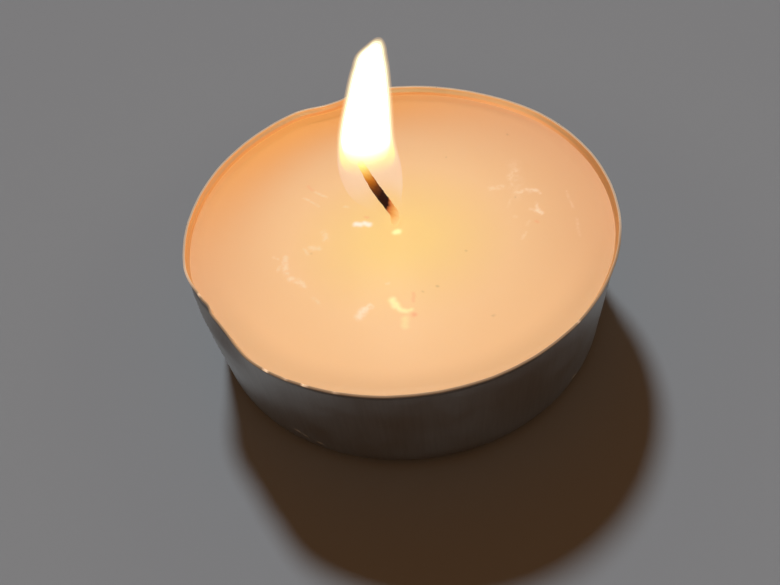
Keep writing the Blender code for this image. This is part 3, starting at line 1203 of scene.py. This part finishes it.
def on_curve(stations: Sequence[Station], heights: Array) -> tuple[Array, Array]:
    """The shift and the radius on smooth cubic curves through the stations.

    Each span is the cubic that takes both ends' values and slopes, the slopes being those of the
    parabola through three neighbouring stations.

    Args:
        stations: the known places, from the lowest up.
        heights: where the curves are read.

    Returns:
        The shift and the radius at each height.
    """
    known = np.array([station.height for station in stations])
    values = np.array([(station.shift, station.radius) for station in stations])
    slopes = np.gradient(values, known, axis=0)
    place = np.clip(np.searchsorted(known, heights) - 1, 0, len(known) - 2)
    span = (known[place + 1] - known[place])[:, None]
    t = (heights - known[place])[:, None] / span
    start = (2 * t**3 - 3 * t**2 + 1) * values[place] + (t**3 - 2 * t**2 + t) * span * slopes[place]
    end = (3 * t**2 - 2 * t**3) * values[place + 1] + (t**3 - t**2) * span * slopes[place + 1]
    shift, radius = (start + end).T
    return shift, radius


@dataclass(frozen=True)
class CandleWick:
    """The wick: a braided cord that stands in the wax and bends over to its glowing tip.

    Attributes:
        place: X of its foot.
        foot: the height above the floor at which it starts, inside the wax.
        level: the wax's level.
        stations: its way above the wax.
        strands: how many strands run each way round it.
        lay: the height in which a strand goes once round.
        relief: how far the strands stand out, as a share of its radius.
        char_slant: how much lower the char reaches on its left than on its middle.
        rows, columns: steps along it and round it.
    """

    place: float = -0.28
    foot: float = 0.5
    level: float = 10.5
    stations: tuple[Station, ...] = (
        Station(0.0, 0.0, 0.40),
        Station(1.168, 0.0, 0.40),
        Station(1.971, -0.3234, 0.40),
        Station(4.015, -1.2012, 0.40),
        Station(7.3, -2.31, 0.26),
    )
    strands: int = 4
    lay: float = 3.4
    relief: float = 0.13
    char_slant: float = 0.42
    rows: int = 220
    columns: int = 64

    def build(self) -> Piece:
        """Carries a round section along the bent path, with two families of strands that cross on it.

        A strand's relief is the size of the sine of its turn round the cord; of the two families that run
        opposite ways, the one that stands higher shows.

        Returns:
            The wick.
        """
        top = self.stations[-1].height
        above = between(top, 0.0, np.linspace(0, 1, self.rows))
        below = np.linspace(0.0, self.foot - self.level, 12)[1:]
        shift, radius = on_curve(self.stations, above)
        height = np.concatenate([above, below])
        shift = np.concatenate([shift, np.zeros(len(below))]) + self.place
        radius = np.concatenate([radius, np.full(len(below), self.stations[0].radius)])
        # The tip's last rows close in to a rounded, slightly frayed end.
        radius = radius * np.sqrt(np.clip(1 - (1 - (top - height) / 0.22).clip(0, 1) ** 2, 0.02, 1))
        lean = np.gradient(shift, height)
        up = 1 / np.hypot(1, lean)
        turn = np.linspace(0, 2 * np.pi, self.columns, endpoint=False)[None, :]
        wound = 2 * np.pi * height[:, None] / self.lay
        half = 0.5 * self.strands
        crossing = np.maximum(np.abs(np.sin(half * (turn + wound))), np.abs(np.sin(half * (turn - wound))))
        fray = ripple(3 * turn + 5 * height[:, None], ((0.03, 1.0, 0.4), (0.02, 3.0, 1.1)))
        thick = radius[:, None] * (1 - self.relief + self.relief * crossing + fray)
        points = np.stack(
            [
                shift[:, None] + thick * np.cos(turn) * up[:, None],
                thick * np.sin(turn),
                self.level + height[:, None] - thick * np.cos(turn) * (lean * up)[:, None],
            ],
            axis=-1,
        )
        burn = height[:, None] - self.char_slant * np.cos(turn) * ease(4.6, 3.0, height)[:, None]
        burn += ripple(turn + 2 * height[:, None], ((0.05, 2.0, 0.2), (0.04, 5.0, 1.7)))
        skin = Skin(
            points,
            top=(float(shift[0]), 0.0, self.level + top + 0.02),
            bottom=(self.place, 0.0, self.foot),
            marks={"burn": np.maximum(burn, 0.0)},
        )
        wick = make_piece("candle_wick", [skin])
        # Its own flame lights the wax round it from above, so it casts no shadow that shows.
        wick.visible_shadow = False
        return seat(wick, CharredCotton(), "wick")


@dataclass(frozen=True)
class FlameShell:
    """One of the nested surfaces that a flame is shown by, each this far inside its outer face.

    Attributes:
        inset: how far inside the flame's outer face it runs.
        bottom: the height at which it closes in.
        swell: the height over which it widens from there, as a slightly pointed quarter ellipse.
        cover, veil: how much it hides where it burns, and below that, on its far side.
        solid: the heights between which it gets its full cover.
        white: the heights between which its light goes from the lower to the upper.
        low, high: its light below and above, red, green and blue, where 1 shows as white.
    """

    inset: float
    bottom: float
    swell: float
    cover: float
    veil: float
    solid: Pair
    white: Pair
    low: Triple
    high: Triple


@dataclass(frozen=True)
class Flame:
    """The flame: a leaning drop of light with a soft edge, white-hot above and nearly clear round the wick.

    Attributes:
        place: X of the wick's foot.
        level: the wax's level.
        stations: its outer face.
        shells: the nested surfaces, from the outer one in.
        vapour: what burns.
        slant: how much lower it burns on its far side than on its middle.
        rows, columns: steps along each shell, shortest at its two ends, and round it.
    """

    place: float = -0.28
    level: float = 10.5
    stations: tuple[Station, ...] = (
        Station(1.7, -0.1431, 0.80),
        Station(2.855, -0.795, 1.3865),
        Station(4.175, -1.2561, 2.0445),
        Station(5.99, -1.4946, 2.35),
        Station(8.63, -1.59, 2.2325),
        Station(13.58, -0.8904, 1.645),
        Station(15.92, -0.48, 1.24),
        Station(16.95, -0.26, 0.96),
        Station(17.46, 0.03, 0.65),
        Station(17.92, 0.24, 0.32),
        Station(18.2, 0.36, 0.06),
    )
    shells: tuple[FlameShell, ...] = (
        FlameShell(-0.18, 1.7, 0.0, 0.12, 0.115, (6.6, 9.0), (5.0, 9.0), (1.3, 1.16, 1.35), (1.2, 0.8, 0.45)),
        FlameShell(-0.06, 5.2, 1.8, 0.22, 0.0, (6.0, 8.8), (6.0, 9.0), (1.3, 1.2, 0.5), (1.3, 1.1, 0.6)),
        FlameShell(0.06, 6.0, 2.0, 0.50, 0.0, (6.5, 8.8), (7.8, 10.0), (1.3, 1.25, 0.36), (1.5, 1.4, 1.0)),
        FlameShell(0.22, 6.9, 2.6, 1.0, 0.0, (6.9, 9.6), (8.0, 11.0), (1.3, 1.25, 0.7), (8.0, 7.4, 6.2)),
    )
    vapour: BurningVapour = BurningVapour()
    slant: float = 0.9
    rows: int = 110
    columns: int = 80

    def shell(self, shell: FlameShell) -> Skin:
        """One nested surface: the outer face moved in, and closed in at its own lower end.

        Args:
            shell: which one.

        Returns:
            Its skin, with its light and its cover as marks.
        """
        high = self.stations[-1].height - 1.2 * (shell.inset - self.shells[0].inset)
        share = 0.5 + 0.5 * np.cos(np.linspace(0, np.pi, self.rows))
        height = between(shell.bottom, high, share)
        shift, radius = on_curve(self.stations, height)
        radius = (radius - shell.inset) * np.sqrt(np.clip((high - height) / 0.12, 0.01, 1))
        if shell.swell:
            rise = np.clip((height - shell.bottom) / shell.swell, 0.0, 1.0)
            radius = radius * np.maximum(1 - (1 - rise) ** 2, 0.0025) ** 0.62
        turn = np.linspace(0, 2 * np.pi, self.columns, endpoint=False)[None, :]
        height, radius, centre = height[:, None], radius[:, None], (self.place + shift)[:, None]
        across = (centre + radius * np.cos(turn), radius * np.sin(turn))
        points = np.stack(np.broadcast_arrays(*across, self.level + height), axis=-1)
        whiter = ease(*shell.white, height)[..., None] ** 2 * np.ones((1, self.columns, 1))
        light = between(np.array(shell.low), np.array(shell.high), whiter)
        # It burns lower on its far side, and its clear part fades out downwards and towards the near side.
        lower = height + self.slant * np.sin(turn)
        clear = shell.veil * ease(self.stations[0].height, 4.0, height) * ease(-1.0, 0.9, np.sin(turn))
        cover = between(clear, shell.cover, ease(*shell.solid, lower))
        return Skin(
            points,
            top=(float(centre[0, 0]), 0.0, self.level + high),
            bottom=(float(centre[-1, 0]), 0.0, self.level + shell.bottom),
            marks={"light": light / self.vapour.power, "cover": cover},
        )

    def build(self) -> Piece:
        """All its shells in one piece, which casts no shadow.

        Returns:
            The flame.
        """
        flame = make_piece("candle_flame", [self.shell(shell) for shell in self.shells])
        flame.visible_shadow = False
        return seat(flame, self.vapour, "flame")


@dataclass(frozen=True)
class WickSustainer:
    """The tab that the wick stands in, under the wax: its CAD node, with its own finish."""

    node: str = "wick_sustainer"

    def build(self) -> Piece:
        """Puts the finish on the CAD node.

        Returns:
            The node's object.
        """
        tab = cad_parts[self.node]
        tab.data.materials.clear()
        tab.data.materials.append(TinnedSteel().make())
        return tab


# The stage.

# Points along each side of the floor's grid.
FLOOR_POINTS = 9


@dataclass(frozen=True)
class Lamp:
    """A wide soft lamp, so far off that it lights the whole floor evenly, which gives no glare.

    Attributes:
        name: its name.
        azimuth, elevation: where it stands, and how high, in degrees.
        breadth: how wide it looks, in degrees.
        level: how bright it makes white board that faces it, where 1 is white.
        tint: the colour of its light.
    """

    name: str
    azimuth: float
    elevation: float
    breadth: float
    level: float
    tint: str

    def hang(self) -> None:
        """Adds the lamp to the scene."""
        turn, rise = math.radians(self.azimuth), math.radians(self.elevation)
        away = Vector((math.cos(turn) * math.cos(rise), math.sin(turn) * math.cos(rise), math.sin(rise)))
        light = bpy.data.lights.new(self.name, "SUN")
        light.angle = math.radians(self.breadth)
        light.energy = math.pi * self.level
        light.color = linear(self.tint)[:3]
        lamp = bpy.data.objects.new(self.name, light)
        lamp.visible_glossy = False
        lamp.rotation_euler = away.to_track_quat("Z", "Y").to_euler()
        bpy.context.scene.collection.objects.link(lamp)


@dataclass(frozen=True)
class Studio:
    """The camera at the photograph's angle, one soft key lamp from the back left, a faint sky and the floor.

    Attributes:
        camera_place: where the camera stands.
        camera_right, camera_up: the picture's right and up.
        lens, sensor: its focal length and the width of its sensor.
        key: the lamp.
        sky, sky_level: the sky's colour and how bright it is, where 1 lights white to white.
        backdrop: the colour that the camera sees beyond the floor.
        floor_side, floor_drop: the floor's width and how far it lies below the cup.
    """

    camera_place: Triple = (0.0, -49.46, 58.59)
    camera_right: Triple = (0.993147, -0.073362, -0.090979)
    camera_up: Triple = (0.114931, 0.754343, 0.646341)
    lens: float = 35.77
    sensor: float = 36.0
    key: Lamp = Lamp("key_lamp", 100.2, 45.5, 8.4, 1.01, "#EDF3FF")
    sky: str = "#FFB176"
    sky_level: float = 0.228
    backdrop: str = "#868C8C"
    floor_side: float = 3000.0
    floor_drop: float = 0.02

    def add_camera(self) -> None:
        """Sets up the camera from its own axes; it looks against its third axis."""
        right, up = Vector(self.camera_right), Vector(self.camera_up)
        back = right.cross(up).normalized()
        axes = Matrix((right.normalized(), up.normalized(), back)).transposed()
        data = bpy.data.cameras.new("camera")
        data.lens, data.sensor_width = self.lens, self.sensor
        data.clip_start, data.clip_end = 0.001, 10.0
        camera = bpy.data.objects.new("camera", data)
        camera.matrix_world = Matrix.Translation(Vector(self.camera_place) * MM) @ axes.to_4x4()
        bpy.context.scene.collection.objects.link(camera)
        bpy.context.scene.camera = camera

    def add_sky(self) -> None:
        """Sets up a faint, even sky, which the camera and the metal see as a plain backdrop."""
        world = bpy.data.worlds.new("sky")
        bpy.context.scene.world = world
        world.use_nodes = True
        tree = world.node_tree
        tree.nodes.clear()
        path = add_node(tree, "LightPath").outputs
        rays = {0: path["Is Camera Ray"], 1: path["Is Glossy Ray"]}
        seen = add_node(tree, "Math", rays, operation="MAXIMUM").outputs[0]
        light = add_node(tree, "Background", {0: linear(self.sky), 1: self.sky_level}).outputs[0]
        plain = add_node(tree, "Background", {0: linear(self.backdrop), 1: 1.0}).outputs[0]
        mixed = add_node(tree, "MixShader", {0: seen, 1: light, 2: plain}).outputs[0]
        add_node(tree, "OutputWorld", {"Surface": mixed})

    def add_floor(self) -> None:
        """Lays the floor just under the cup, as a grid of its own."""
        side = np.linspace(-0.5, 0.5, FLOOR_POINTS) * self.floor_side
        x, y = np.meshgrid(side, side)
        points = np.stack([x, y, np.full_like(x, -self.floor_drop)], axis=-1).reshape(-1, 3) * MM
        here = np.arange(FLOOR_POINTS**2).reshape(FLOOR_POINTS, -1)[:-1, :-1].ravel()
        faces = np.stack([here, here + 1, here + FLOOR_POINTS + 1, here + FLOOR_POINTS], axis=-1)
        mesh = bpy.data.meshes.new("floor")
        mesh.from_pydata(points.tolist(), [], faces.tolist())
        mesh.materials.append(PaintedBoard().make())
        floor = bpy.data.objects.new("floor", mesh)
        bpy.context.scene.collection.objects.link(floor)

    def set_up(self) -> None:
        """The whole stage, under the plain Standard view."""
        bpy.context.scene.view_settings.view_transform = "Standard"
        self.add_camera()
        self.add_sky()
        self.add_floor()
        self.key.hang()


def main() -> None:
    """Sets the stage, builds the candle from the cup inwards and reports each piece."""
    logging.basicConfig(level=logging.INFO, format="%(name)s: %(message)s")
    Studio().set_up()
    for part in (CandleCup(), WaxPool(), WickSustainer(), CandleWick(), Flame()):
        piece = part.build()
        LOG.info("%s: %d faces", piece.name, len(piece.data.polygons))


if __name__ == "__main__":
    main()
